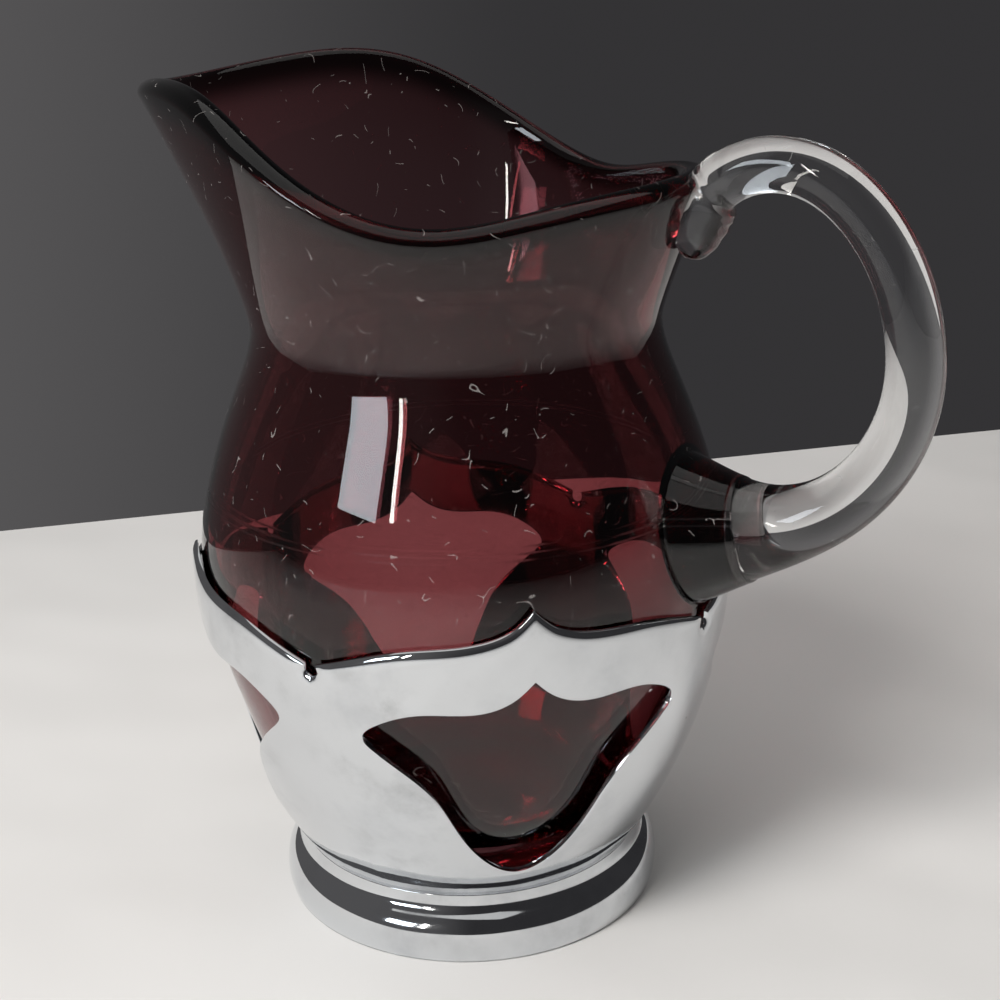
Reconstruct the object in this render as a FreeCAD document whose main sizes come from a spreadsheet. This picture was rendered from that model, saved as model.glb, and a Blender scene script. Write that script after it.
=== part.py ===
"""A small table pitcher: a blown glass vessel with a fused loop handle, standing in a footed metal holder.

Millimetres. +Z is up, the origin is the centre of the foot's resting ring, the handle is on +X and the
pouring lip on -X. The vessel and handle lift straight up out of the holder.
"""
import FreeCAD, Part

import math
import os

import Sketcher

# Driving sizes in millimetres, angles in degrees: name, value, what it is.
SIZES = [
    ("foot_base_radius", 26.7, "outer radius of the ring that the foot rests on"),
    ("foot_radius", 27.1, "widest radius of the foot"),
    ("foot_shoulder_height", 5.4, "height of the foot's shoulder before it is rounded"),
    ("foot_shoulder_round", 2.2, "rounding of the foot's shoulder"),
    ("foot_ledge_height", 7.6, "height where the foot's ledge meets the waist"),
    ("foot_waist_round", 0.9, "hollow rounding between ledge and waist"),
    ("foot_height", 9.0, "height of the foot, where the cup's floor is brazed on"),
    ("foot_wall", 1.1, "sheet thickness of the foot"),
    ("waist_radius", 24.4, "radius of foot and cup where they meet"),
    ("cup_wall", 0.9, "sheet thickness of the cup"),
    ("cup_floor", 1.0, "thickness of the cup's floor"),
    ("cup_spare_height", 1.5, "sheet above the lobe tips that the scallops trim away"),
    ("grip_gap", 0.4, "clearance between the cup's wall and the glass at the belly"),
    ("lobe_count", 4, "lobes, windows and notches round the cup"),
    ("lobe_turn", -49.5, "turn of the first lobe's middle from the handle"),
    ("lobe_peak", 46.2, "tip of a lobe above the cup's underside"),
    ("lobe_brow_offset", 16.5, "sideways place of the lobe's outer curve"),
    ("lobe_brow_height", 41.2, "height of the lobe's outer curve"),
    ("lobe_end_height", 37.6, "height of the lobe's edge at the notch"),
    ("ogee_half_width", 6.6, "half width of the pointed crest on lobes and windows"),
    ("ogee_drop", 3.8, "fall of the crest from its point to its foot"),
    ("ogee_waist_offset", 2.4, "sideways place of the crest's hollow"),
    ("ogee_waist_drop", 2.2, "fall of the crest at its hollow"),
    ("notch_width", 1.8, "width of the slit between two lobes"),
    ("notch_floor", 36.3, "bottom of the slit above the cup's underside"),
    ("window_peak", 36.7, "tip of a window above the cup's underside"),
    ("window_brow_offset", 13.2, "sideways place of the window's upper curve"),
    ("window_brow_height", 32.8, "height of the window's upper curve"),
    ("window_corner_offset", 18.2, "sideways place of the window's upper corner"),
    ("window_corner_height", 31.2, "height of the window's upper corner"),
    ("window_tip_offset", 20.4, "half width of a window"),
    ("window_tip_height", 28.7, "height of a window's side tip"),
    ("window_cheek_offset", 18.9, "sideways place of the window's lower corner"),
    ("window_cheek_height", 26.7, "height of the window's lower corner"),
    ("window_flank_offset", 12.4, "sideways place of the window's flank"),
    ("window_flank_height", 20.3, "height of the window's flank"),
    ("window_heel_offset", 6.9, "sideways place where the rounded bottom starts"),
    ("window_heel_height", 10.4, "height where the rounded bottom starts"),
    ("window_floor", 4.8, "bottom of a window above the cup's underside"),
    ("base_radius", 17.0, "flat of the vessel's base"),
    ("base_thickness", 4.0, "glass under the vessel's inner floor"),
    ("heel_gap", 2.75, "clearance between the vessel's heel and the cup's wall"),
    ("heel_height", 5.4, "height of the heel above the vessel's base"),
    ("flank_gap", 1.52, "clearance between the vessel's flank and the cup's wall"),
    ("flank_height", 20.0, "height of the flank"),
    ("belly_radius", 35.9, "vessel's widest radius"),
    ("belly_height", 42.0, "height of the widest radius"),
    ("shoulder_radius", 32.3, "vessel's radius on the shoulder"),
    ("shoulder_height", 58.2, "height of the shoulder"),
    ("throat_radius", 29.7, "vessel's radius under the neck"),
    ("throat_height", 64.8, "height of the place under the neck"),
    ("neck_radius", 27.4, "vessel's radius at the neck"),
    ("neck_height", 73.0, "height of the neck"),
    ("glass_wall", 2.4, "thickness of the vessel's wall"),
    ("mouth_radius", 34.2, "mean radius of the rim"),
    ("mouth_pull", 4.2, "pull of the rim towards the pouring lip"),
    ("mouth_oval", 3.3, "drawing out of the rim along lip and handle"),
    ("mouth_point", 1.3, "four-fold part of the rim's outline, which points the lip"),
    ("mouth_narrow", 0.3, "five-fold part of the rim's outline, which narrows the lip"),
    ("mouth_height", 95.1, "mean height of the rim above the vessel's base"),
    ("mouth_rise", 7.2, "rise of the rim towards the lip"),
    ("mouth_saddle", 2.7, "rise of the rim at lip and handle over its sides"),
    ("mouth_wave", 2.4, "three-fold wave of the rim"),
    ("mouth_ripple", 1.2, "four-fold wave of the rim"),
    ("rod_radius", 3.8, "radius of the handle's rod"),
    ("rod_end_radius", 3.3, "radius of the rod where it meets the rim"),
    ("bell_swell", 5.2, "extra radius of the handle's bell on the belly"),
    ("bell_length", 8.8, "length in which the bell's swelling falls to a third"),
    ("handle_root_height", 48.2, "height where the bell sits on the belly"),
    ("handle_elbow_reach", 51.6, "distance of the lower bend from the axis"),
    ("handle_elbow_height", 52.4, "height of the lower bend"),
    ("handle_reach", 61.4, "farthest distance of the rod's middle from the axis"),
    ("handle_reach_height", 72.5, "height of the farthest point"),
    ("handle_crown_reach", 43.4, "distance of the top of the loop from the axis"),
    ("handle_crown_height", 95.0, "height of the top of the loop"),
    ("handle_tuck_reach", 35.6, "distance of the bend at the rim from the axis"),
    ("handle_tuck_height", 91.6, "height of the bend at the rim"),
    ("handle_tip_reach", 32.7, "distance of the pressed tip from the axis"),
    ("handle_tip_height", 82.8, "height of the pressed tip"),
    ("handle_tip_radius", 1.6, "radius of the rod's pressed tip"),
    ("handle_tip_length", 7.0, "length in which the rod tapers to its tip"),
]
FLARE_BEND = 0.1           # share of the flare in which the neck's upright wall turns outwards
RING_POINTS = 24           # points that carry each ring of the vessel
BELLY_RINGS = 9            # rings from the base to the belly
NECK_RINGS = 8             # rings from the belly to the neck
FLARE_RINGS = 5            # rings from the neck to the rim
RIM_STEPS = 4              # steps over the rounded rim
HANDLE_STATIONS = 26       # sections along the handle
BELL_SINK = 4.0            # how far the bell is drawn inside the belly before it is trimmed, in wall widths
BELL_LIMIT = 0.3           # share of the bell's length over which it goes on swelling inside the belly

doc = FreeCAD.newDocument("Pitcher")
sheet = doc.addObject("Spreadsheet::Sheet", "Sizes")
for row, (alias, value, note) in enumerate(SIZES, start=1):
    sheet.set(f"A{row}", alias)
    sheet.set(f"B{row}", str(value))
    sheet.set(f"C{row}", note)
    sheet.setAlias(f"B{row}", alias)
doc.recompute()


def size(name):
    return float(sheet.get(name))


def plane_of(body, role):
    return next(feature for feature in body.Origin.OriginFeatures if feature.Role == role)


def sketch_on(body, role, name):
    sketch = body.newObject("Sketcher::SketchObject", name)
    sketch.AttachmentSupport = [(plane_of(body, role), "")]
    sketch.MapMode = "FlatFace"
    return sketch


def place_point(sketch, index, position, point):
    """Bind a point of a sketch to a pair of expressions."""
    for kind, expression in zip(("DistanceX", "DistanceY"), point):
        value = float(sketch.evalExpression(expression))
        constraint = sketch.addConstraint(Sketcher.Constraint(kind, index, position, value))
        sketch.setExpression(f"Constraints[{constraint}]", expression)


def draw_outline(sketch, corners):
    """Draw a closed outline. Each corner is a pair of expressions, with the middle point of an arc after it."""
    def vector(point):
        return FreeCAD.Vector(*(float(sketch.evalExpression(expression)) for expression in point), 0)

    ends = []
    for (start, middle), (finish, _) in zip(corners, corners[1:] + corners[:1]):
        if middle is None:
            curve = Part.LineSegment(vector(start), vector(finish))
            index = sketch.addGeometry(curve, False)
            ends.append((index, 1, 2))
            continue
        turn = (vector(middle) - vector(start)).cross(vector(finish) - vector(middle)).z
        path = (start, middle, finish) if turn > 0 else (finish, middle, start)
        index = sketch.addGeometry(Part.Arc(*(vector(point) for point in path)), False)
        ends.append((index, 1, 2) if turn > 0 else (index, 2, 1))
        guide = sketch.addGeometry(Part.Point(vector(middle)), True)
        sketch.addConstraint(Sketcher.Constraint("PointOnObject", guide, 1, index))
        place_point(sketch, guide, 1, middle)
    for (index, _, last), (following, first, _) in zip(ends, ends[1:] + ends[:1]):
        sketch.addConstraint(Sketcher.Constraint("Coincident", index, last, following, first))
    for (index, first, _), (start, _) in zip(ends, corners):
        place_point(sketch, index, first, start)


def mirrored(right):
    """Complete an outline from its right side, which starts at a point on the axis and is closed across it."""
    def flip(point):
        return None if point is None else (f"-({point[0]})", point[1])

    left = [(flip(right[i][0]), flip(right[i - 1][1])) for i in range(len(right) - 1, 0, -1)]
    return right + left


def revolve(body, sketch, name):
    turn = body.newObject("PartDesign::Revolution", name)
    turn.Profile = sketch
    turn.ReferenceAxis = (sketch, ["V_Axis"])
    turn.Angle = 360.0
    return turn


def ring_edge(shape, radius, height):
    """Name of the round edge about the Z axis at a radius and height."""
    for number, edge in enumerate(shape.Edges, start=1):
        curve = edge.Curve
        if isinstance(curve, Part.Circle) and abs(curve.Radius - radius) < 1e-4:
            if abs(curve.Center.z - height) < 1e-4:
                return f"Edge{number}"
    raise ValueError(f"no round edge of radius {radius} at height {height}")


def make_foot():
    """Spun foot: a short wall, a rounded shoulder, a sloping ledge and a flat top that carries the cup."""
    body = doc.addObject("PartDesign::Body", "holder_foot")
    sketch = sketch_on(body, "XZ_Plane", "foot_profile")
    wall = "Sizes.foot_wall"
    draw_outline(sketch, [
        (("0", "Sizes.foot_height"), None),
        (("Sizes.waist_radius", "Sizes.foot_height"), None),
        (("Sizes.waist_radius", "Sizes.foot_ledge_height"), None),
        (("Sizes.foot_radius", "Sizes.foot_shoulder_height"), None),
        (("Sizes.foot_base_radius", "0"), None),
        ((f"Sizes.foot_base_radius - {wall}", "0"), None),
        ((f"Sizes.foot_radius - {wall}", f"Sizes.foot_shoulder_height - {wall}"), None),
        ((f"Sizes.waist_radius - {wall}", f"Sizes.foot_ledge_height - {wall}"), None),
        ((f"Sizes.waist_radius - {wall}", f"Sizes.foot_height - {wall}"), None),
        (("0", f"Sizes.foot_height - {wall}"), None),
    ])
    turn = revolve(body, sketch, "foot_shell")
    doc.recompute()
    base = turn
    for name, radius, height in (
        ("foot_shoulder_round", "foot_radius", "foot_shoulder_height"),
        ("foot_waist_round", "waist_radius", "foot_ledge_height"),
    ):
        fillet = body.newObject("PartDesign::Fillet", f"{name}_fillet")
        fillet.Base = (base, [ring_edge(base.Shape, size(radius), size(height))])
        fillet.setExpression("Radius", f"Sizes.{name}")
        doc.recompute()
        base = fillet
    return body


CUP_RADIUS = "(Sizes.belly_radius + Sizes.grip_gap + Sizes.cup_wall)"
CUP_BELLY = "(Sizes.cup_floor + Sizes.belly_height)"
CUP_SWELL = f"({CUP_RADIUS} - Sizes.waist_radius)"
CUP_SWEEP = f"(({CUP_BELLY}^2 + {CUP_SWELL}^2) / (2 * {CUP_SWELL}))"


def cup_wall_point(depth, height):
    """Point of the cup's side, an arc that stands upright at the belly, at a depth under its outside."""
    reach = f"sqrt(({CUP_SWEEP} - {depth})^2 - ({CUP_BELLY} - {height})^2)"
    return (f"{CUP_RADIUS} - {CUP_SWEEP} + {reach}", height)


def make_cup():
    """Pressed cup: a swelling wall with scalloped lobes, an openwork window in each and a slit between them."""
    body = doc.addObject("PartDesign::Body", "holder_cup")
    turn = FreeCAD.Rotation(FreeCAD.Vector(0, 0, 1), size("lobe_turn"))
    body.Placement = FreeCAD.Placement(FreeCAD.Vector(), turn)
    body.setExpression("Placement.Base.z", "Sizes.foot_height")
    body.setExpression("Placement.Rotation.Angle", "Sizes.lobe_turn * 1 deg")
    profile = sketch_on(body, "XZ_Plane", "cup_profile")
    rim = "Sizes.lobe_peak + Sizes.cup_spare_height"
    wall = "Sizes.cup_wall"
    half_way = f"{CUP_BELLY} / 2"
    draw_outline(profile, [
        (("0", "0"), None),
        (cup_wall_point("0", "0"), cup_wall_point("0", half_way)),
        ((CUP_RADIUS, CUP_BELLY), None),
        ((CUP_RADIUS, rim), None),
        ((f"{CUP_RADIUS} - {wall}", rim), None),
        ((f"{CUP_RADIUS} - {wall}", CUP_BELLY), cup_wall_point(wall, half_way)),
        (cup_wall_point(wall, "Sizes.cup_floor"), None),
        (("0", "Sizes.cup_floor"), None),
    ])
    shell = revolve(body, profile, "cup_shell")

    doc.recompute()
    whole = shell.Shape.Volume
    cuts = [cut_outwards(body, name, outline) for name, outline in (
        ("window", window_outline()),
        ("scallop", scallop_outline()),
    )]
    cuts.append(cut_notch(body))
    ring = body.newObject("PartDesign::PolarPattern", "lobe_pattern")
    ring.Originals = cuts
    ring.Axis = (plane_of(body, "Z_Axis"), [""])
    ring.Angle = 360.0
    ring.setExpression("Occurrences", "Sizes.lobe_count")
    body.Tip = ring
    doc.recompute()
    if not ring.Shape.Volume < whole:
        raise ValueError("the windows and scallops cut nothing")
    return body


def window_outline():
    """Shield shape: a pointed crest, a rounded tip at each side and a rounded bottom."""
    return mirrored([
        (("0", "Sizes.window_peak"),
         ("Sizes.ogee_waist_offset", "Sizes.window_peak - Sizes.ogee_waist_drop")),
        (("Sizes.ogee_half_width", "Sizes.window_peak - Sizes.ogee_drop"),
         ("Sizes.window_brow_offset", "Sizes.window_brow_height")),
        (("Sizes.window_corner_offset", "Sizes.window_corner_height"),
         ("Sizes.window_tip_offset", "Sizes.window_tip_height")),
        (("Sizes.window_cheek_offset", "Sizes.window_cheek_height"),
         ("Sizes.window_flank_offset", "Sizes.window_flank_height")),
        (("Sizes.window_heel_offset", "Sizes.window_heel_height"), ("0", "Sizes.window_floor")),
    ])


def scallop_outline():
    """The sheet above one lobe's edge, as wide as the lobe."""
    lobe_end = f"{CUP_RADIUS} * sin(180 deg / Sizes.lobe_count)"
    return mirrored([
        (("0", "Sizes.lobe_peak"),
         ("Sizes.ogee_waist_offset", "Sizes.lobe_peak - Sizes.ogee_waist_drop")),
        (("Sizes.ogee_half_width", "Sizes.lobe_peak - Sizes.ogee_drop"),
         ("Sizes.lobe_brow_offset", "Sizes.lobe_brow_height")),
        ((lobe_end, "Sizes.lobe_end_height"), None),
        ((lobe_end, "Sizes.lobe_peak + 2 * Sizes.cup_spare_height"), None),
    ])


def cut_outwards(body, name, outline):
    """Cut an outline, drawn on the lobe's middle plane, from the axis out through the wall."""
    sketch = sketch_on(body, "XZ_Plane", f"{name}_outline")
    draw_outline(sketch, outline)
    cut = body.newObject("PartDesign::Pocket", f"{name}_cut")
    cut.Profile = sketch
    cut.setExpression("Length", f"2 * {CUP_RADIUS}")
    return cut


def cut_notch(body):
    """Slit with a round bottom between the first lobe and the next."""
    sketch = sketch_on(body, "XZ_Plane", "notch_outline")
    between = FreeCAD.Rotation(FreeCAD.Vector(0, 1, 0), 180 / size("lobe_count"))
    sketch.AttachmentOffset = FreeCAD.Placement(FreeCAD.Vector(), between)
    sketch.setExpression("AttachmentOffset.Rotation.Angle", "180 deg / Sizes.lobe_count")
    half = "Sizes.notch_width / 2"
    top = "Sizes.lobe_peak + 2 * Sizes.cup_spare_height"
    draw_outline(sketch, [
        ((half, top), None),
        ((f"-({half})", top), None),
        ((f"-({half})", f"Sizes.notch_floor + {half}"), ("0", "Sizes.notch_floor")),
        ((half, f"Sizes.notch_floor + {half}"), None),
    ])
    cut = body.newObject("PartDesign::Pocket", "notch_cut")
    cut.Profile = sketch
    cut.setExpression("Length", f"2 * {CUP_RADIUS}")
    return cut


def cup_inside_at(height):
    """Radius of the cup's inner wall at a height above the cup's underside, up to the belly."""
    return float(sheet.evalExpression(cup_wall_point("Sizes.cup_wall", str(height))[0]))


def level_with(point, middle):
    """The point's mirror image, as far beyond the middle's height as the point is short of it."""
    return FreeCAD.Vector(point.x, 0, 2 * middle.z - point.z)


def strip_points(pins, first, last, count):
    """Points along a smooth curve through the pins, from one pin to another."""
    curve = Part.BSplineCurve()
    curve.interpolate(pins)
    start = curve.parameter(first)
    step = (curve.parameter(last) - start) / (count - 1)
    return [curve.value(start + step * ring) for ring in range(count)]


def vessel_profile():
    """Points of the vessel's outside from the edge of its base up to the neck, as radius and height.

    One curve runs up to the belly and one from there to the neck. Each passes on to a mirror image
    of its own last place, so that it stands upright at the belly and at the neck.
    """
    base = FreeCAD.Vector(size("base_radius"), 0, 0)
    pins = {}
    for place in ("heel", "flank"):
        height = size(f"{place}_height")
        radius = cup_inside_at(size("cup_floor") + height) - size(f"{place}_gap")
        pins[place] = FreeCAD.Vector(radius, 0, height)
    for place in ("belly", "shoulder", "throat", "neck"):
        pins[place] = FreeCAD.Vector(size(f"{place}_radius"), 0, size(f"{place}_height"))
    heel, flank, belly, shoulder, throat, neck = pins.values()
    lower = [base, heel, flank, belly, level_with(flank, belly)]
    upper = [level_with(shoulder, belly), belly, shoulder, throat, neck, level_with(throat, neck)]
    points = strip_points(lower, base, belly, BELLY_RINGS)
    points += strip_points(upper, belly, neck, NECK_RINGS)[1:]
    return [(point.x, point.z) for point in points]


def rim_point(angle):
    """Radius and height of the rim's outer edge at an angle from the handle."""
    radius = (
        size("mouth_radius")
        - size("mouth_pull") * math.cos(angle)
        + size("mouth_oval") * math.cos(2 * angle)
        + size("mouth_point") * math.cos(4 * angle)
        - size("mouth_narrow") * math.cos(5 * angle)
    )
    height = (
        size("mouth_height")
        - size("mouth_rise") * math.cos(angle)
        + size("mouth_saddle") * math.cos(2 * angle)
        + size("mouth_wave") * math.cos(3 * angle)
        - size("mouth_ripple") * math.cos(4 * angle)
    )
    return radius, height


def outside_at(angle):
    """Vessel's outside at one angle, from the base to the rim, as radius and height."""
    points = vessel_profile()
    rim_radius, rim_height = rim_point(angle)
    for step in range(1, FLARE_RINGS + 1):
        share = step / FLARE_RINGS
        opened = share ** 2 * (1 + FLARE_BEND) / (share + FLARE_BEND)
        radius = size("neck_radius") + (rim_radius - size("neck_radius")) * opened
        height = size("neck_height") + (rim_height - size("neck_height")) * share
        points.append((radius, height))
    return points


def wall_normals(points):
    """Outward directions along a profile, from its neighbours' slope."""
    normals = []
    for i in range(len(points)):
        before = points[max(i - 1, 0)]
        after = points[min(i + 1, len(points) - 1)]
        run, rise = after[0] - before[0], after[1] - before[1]
        length = math.hypot(run, rise)
        normals.append((rise / length, -run / length))
    return normals


def wall_section(angle):
    """Section of the vessel's wall at one angle: up the outside, over the rounded rim, down the inside."""
    outside = outside_at(angle)
    normals = wall_normals(outside)
    wall = size("glass_wall")
    lip_normal = normals[-1]
    lip_along = (-lip_normal[1], lip_normal[0])
    centre = [outside[-1][k] - wall / 2 * lip_normal[k] for k in (0, 1)]
    rim = []
    for step in range(1, RIM_STEPS):
        turn = math.pi * step / RIM_STEPS
        rim.append(tuple(
            centre[k] + wall / 2 * (math.cos(turn) * lip_normal[k] + math.sin(turn) * lip_along[k])
            for k in (0, 1)
        ))
    inside = [
        (point[0] - wall * normal[0], point[1] - wall * normal[1])
        for point, normal in zip(outside, normals)
        if point[1] > size("base_thickness") + wall
    ]
    floor = (size("base_radius"), size("base_thickness"))
    return outside + rim + inside[::-1] + [floor]


def ring_loft(sections):
    """Solid skin through the rings that matching points of the sections make round the axis."""
    wires = []
    for ring in zip(*sections):
        points = []
        for step, (radius, height) in enumerate(ring):
            angle = 2 * math.pi * step / RING_POINTS
            points.append(FreeCAD.Vector(radius * math.cos(angle), radius * math.sin(angle), height))
        curve = Part.BSplineCurve()
        curve.interpolate(points, True)
        wires.append(Part.Wire(curve.toShape()))
    return Part.makeLoft(wires, True, False)


def seat_on_cup(feature, shape):
    """Give a glass piece its shape and stand the vessel's base on the cup's floor."""
    feature.Shape = shape
    feature.setExpression("Placement.Base.z", "Sizes.foot_height + Sizes.cup_floor")


def make_vessel():
    """Blown vessel: flat base, round belly, narrow neck and a flaring mouth with a pulled pouring lip."""
    angles = [2 * math.pi * step / RING_POINTS for step in range(RING_POINTS)]
    feature = doc.addObject("Part::Feature", "glass_vessel")
    seat_on_cup(feature, ring_loft([wall_section(angle) for angle in angles]))
    return feature


def handle_path():
    """Middle line of the handle in the XZ plane, from inside the belly round the loop to the pressed tip."""
    root = size("handle_root_height")
    stops = [
        (size("belly_radius") - BELL_SINK * size("glass_wall"), root),
        (size("belly_radius") + size("bell_length") / 2, root),
    ]
    for place in ("elbow", "reach", "crown", "tuck", "tip"):
        reach = "handle_reach" if place == "reach" else f"handle_{place}_reach"
        height = f"handle_{place}_height"
        stops.append((size(reach), size(height)))
    curve = Part.BSplineCurve()
    curve.interpolate([FreeCAD.Vector(reach, 0, height) for reach, height in stops])
    return curve


def rod_radius_at(travelled, left):
    """Rod's radius at a distance along the path from the belly and a distance left to the tip."""
    drawn = max(travelled, 0) / (travelled + left)
    rod = size("rod_radius") + (size("rod_end_radius") - size("rod_radius")) * drawn
    swollen = max(travelled, -BELL_LIMIT * size("bell_length"))
    bell = size("bell_swell") * math.exp(-swollen / size("bell_length"))
    rounding = math.sin(min(left / size("handle_tip_length"), 1) * math.pi / 2)
    thin = size("handle_tip_radius") / size("rod_end_radius")
    return (rod + bell) * (thin + (1 - thin) * rounding)


def make_handle(vessel):
    """Handle drawn from one rod: a bell fused to the belly, a round loop and an end pressed on the flare."""
    path = handle_path()
    length = path.length()
    sunk = BELL_SINK * size("glass_wall")
    wires = []
    for step in range(HANDLE_STATIONS):
        travelled = length * step / (HANDLE_STATIONS - 1)
        parameter = path.parameterAtDistance(travelled, path.FirstParameter)
        along = path.tangent(parameter)[0]
        turn = math.degrees(math.atan2(-along.z, along.x))
        radius = rod_radius_at(travelled - sunk, length - travelled)
        circle = Part.Circle(FreeCAD.Vector(), FreeCAD.Vector(1, 0, 0), radius)
        wire = Part.Wire(circle.toShape())
        rotation = FreeCAD.Rotation(FreeCAD.Vector(0, 1, 0), turn)
        wire.Placement = FreeCAD.Placement(path.value(parameter), rotation)
        wires.append(wire)
    rod = Part.makeLoft(wires, True, False)
    vessel_in_place = vessel.Shape.copy()
    vessel_in_place.Placement = FreeCAD.Placement()
    trimmed = rod.cut(vessel_in_place).Solids
    outside = max(trimmed, key=lambda solid: solid.BoundBox.XMax)
    feature = doc.addObject("Part::Feature", "handle")
    seat_on_cup(feature, outside)
    return feature


def check_and_write(pieces):
    """Stop at any failed object or bad shape, then write each piece to its own file."""
    doc.recompute()
    for item in doc.Objects:
        if "Invalid" in item.State or "Error" in item.State:
            raise ValueError(f"{item.Name} failed: {item.State}")
    for piece in pieces:
        shape = piece.Shape
        if shape.isNull() or not shape.isValid() or len(shape.Solids) != 1:
            raise ValueError(f"{piece.Label} is not one valid solid")
        box = shape.BoundBox
        print(f"{piece.Label}: volume {shape.Volume:.1f} mm3, "
              f"x {box.XMin:.2f} to {box.XMax:.2f}, y {box.YMin:.2f} to {box.YMax:.2f}, "
              f"z {box.ZMin:.2f} to {box.ZMax:.2f}")
    os.makedirs("parts", exist_ok=True)
    for piece in pieces:
        piece.Shape.exportStep(f"parts/{piece.Label}.step")


foot = make_foot()
cup = make_cup()
vessel = make_vessel()
handle = make_handle(vessel)
check_and_write([foot, cup, vessel, handle])
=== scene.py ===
# %% [markdown]
# # A glass pitcher in a chromed holder
# The pitcher is blown from dark amethyst glass and has a handle of clear glass.
# It stands in a pressed, chromed cup with four openwork lobes, on a spun foot.
# The solid construction is finished already and comes in as a frame that nothing here moves.
# This lesson builds the finer meshes that stand for those solids, and the finishes they carry.

# %% The construction
import math

import bmesh
import bpy
import numpy as np
from mathutils import Matrix, Vector


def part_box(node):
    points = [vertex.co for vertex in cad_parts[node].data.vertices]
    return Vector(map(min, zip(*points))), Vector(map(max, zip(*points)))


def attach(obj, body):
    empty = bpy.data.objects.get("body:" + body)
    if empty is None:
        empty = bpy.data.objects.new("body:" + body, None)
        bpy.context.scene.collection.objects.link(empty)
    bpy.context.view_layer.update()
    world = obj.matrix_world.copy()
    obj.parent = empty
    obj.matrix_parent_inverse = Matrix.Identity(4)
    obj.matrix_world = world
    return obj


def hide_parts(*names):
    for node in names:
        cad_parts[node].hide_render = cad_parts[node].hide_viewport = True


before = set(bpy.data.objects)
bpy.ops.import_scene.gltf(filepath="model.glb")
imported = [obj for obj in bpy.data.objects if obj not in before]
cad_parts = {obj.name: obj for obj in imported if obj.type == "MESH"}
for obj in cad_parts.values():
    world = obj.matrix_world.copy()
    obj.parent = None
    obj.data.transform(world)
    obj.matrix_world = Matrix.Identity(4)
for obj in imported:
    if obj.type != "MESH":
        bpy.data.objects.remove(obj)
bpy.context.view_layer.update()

MM = 0.001


# %% [markdown]
# ## Three helpers
# Every piece is drawn in millimetres in a bmesh, because that is how a maker would note its sizes.
# One helper turns such a bmesh into a finished piece: it closes seams and poles, turns the faces
# outwards, brings it to metres, says which body it rides on and hides the solid it stands for.
# The next extrudes a line of edges where it lies, so that the new line can then be moved.
# The last bends a smooth line through a few places, as a springy strip bends round pins.
# A strip like that has no sudden change of curvature, which polished glass would show at once.

# %% From bmesh to piece
SEAM = 0.004


def finished_piece(bm, name, node, body):
    """Make an object of a bmesh in millimetres, to stand for a solid of the construction."""
    bmesh.ops.remove_doubles(bm, verts=bm.verts, dist=SEAM)
    bmesh.ops.recalc_face_normals(bm, faces=bm.faces)
    bmesh.ops.scale(bm, vec=Vector((MM, MM, MM)), verts=bm.verts)
    mesh = bpy.data.meshes.new(name)
    bm.to_mesh(mesh)
    open_edges = sum(1 for edge in bm.edges if not edge.is_manifold)
    bm.free()
    mesh.shade_smooth()
    piece = bpy.data.objects.new(name, mesh)
    bpy.context.scene.collection.objects.link(piece)
    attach(piece, body)
    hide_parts(node)
    print(f"{name}: {len(mesh.polygons)} faces, {open_edges} open edges")
    return piece


# %% A line of edges extruded
def grow(bm, edges):
    """Extrude edges where they lie; return the new vertices and the new edges between them."""
    made = bmesh.ops.extrude_edge_only(bm, edges=edges)["geom"]
    verts = [item for item in made if isinstance(item, bmesh.types.BMVert)]
    between = [item for item in made if isinstance(item, bmesh.types.BMEdge)
               and all(vert in verts for vert in item.verts)]
    return verts, between


# %% A line bent through pins
def bent_strip(pins, steps):
    """Points along the smooth curve that a springy strip takes through pins, steps to a span."""
    pins = np.array(pins, float)
    runs = np.linalg.norm(np.diff(pins, axis=0), axis=1)
    stiffness = np.eye(len(pins))
    pull = np.zeros(pins.shape)
    for i in range(1, len(pins) - 1):
        stiffness[i, i - 1:i + 2] = runs[i - 1], 2 * (runs[i - 1] + runs[i]), runs[i]
        slopes = np.diff(pins[i - 1:i + 2], axis=0) / runs[i - 1:i + 1, None]
        pull[i] = 6 * (slopes[1] - slopes[0])
    curl = np.linalg.solve(stiffness, pull)
    line = []
    for i, run in enumerate(runs):
        for done in run * np.arange(steps) / steps:
            left = run - done
            bow = curl[i] * (left ** 3 - run ** 2 * left)
            bow += curl[i + 1] * (done ** 3 - run ** 2 * done)
            line.append((pins[i] * left + pins[i + 1] * done) / run + bow / (6 * run))
    line.append(pins[-1])
    return [Vector(point) for point in line]


# %% [markdown]
# ## The vessel
# A glassblower turns the vessel on an iron, so below the neck every level of it is round.
# Spinning one section of its wall round the axis gives that, with the thick floor and the rounded
# rim in one closed skin. The mouth was pulled and pressed while the glass was soft: its rim rises
# to a long lip opposite the handle and dips at the sides. So the spun mouth is then moved out and
# up by the rim's own shape, not at all at the neck and fully at the rim. Sculpting would do it too,
# but a sum of a few waves round the rim keeps the glass free of dents.
# The same step marks how near each vertex is to the rim, for the finish to paint shade there later.

# %% Section of the vessel's wall
GLASS_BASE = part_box("glass_vessel")[0].z / MM
OUTSIDE = [(17.0, 0.0), (24.4, 5.4), (31.6, 20.0), (35.9, 42.0), (32.3, 58.2), (29.7, 64.8),
           (27.4, 73.0), (29.7, 81.2)]
NECK_PIN = 6
NECK_RADIUS, NECK_HEIGHT = OUTSIDE[NECK_PIN]
MOUTH_RADIUS, MOUTH_HEIGHT = 34.2, 94.65
FLARE_BEND = 0.1
GLASS_WALL = 2.4
RIM_EXTRA = 1.3
RIM_CROWN = 0.75
GLASS_FLOOR = 4.0
FLOOR_PIN = (18.0, 4.9)
WALL_FROM = 8.0
SPAN_STEPS = 10
FLARE_STEPS = 20
RIM_STEPS = 12


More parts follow.
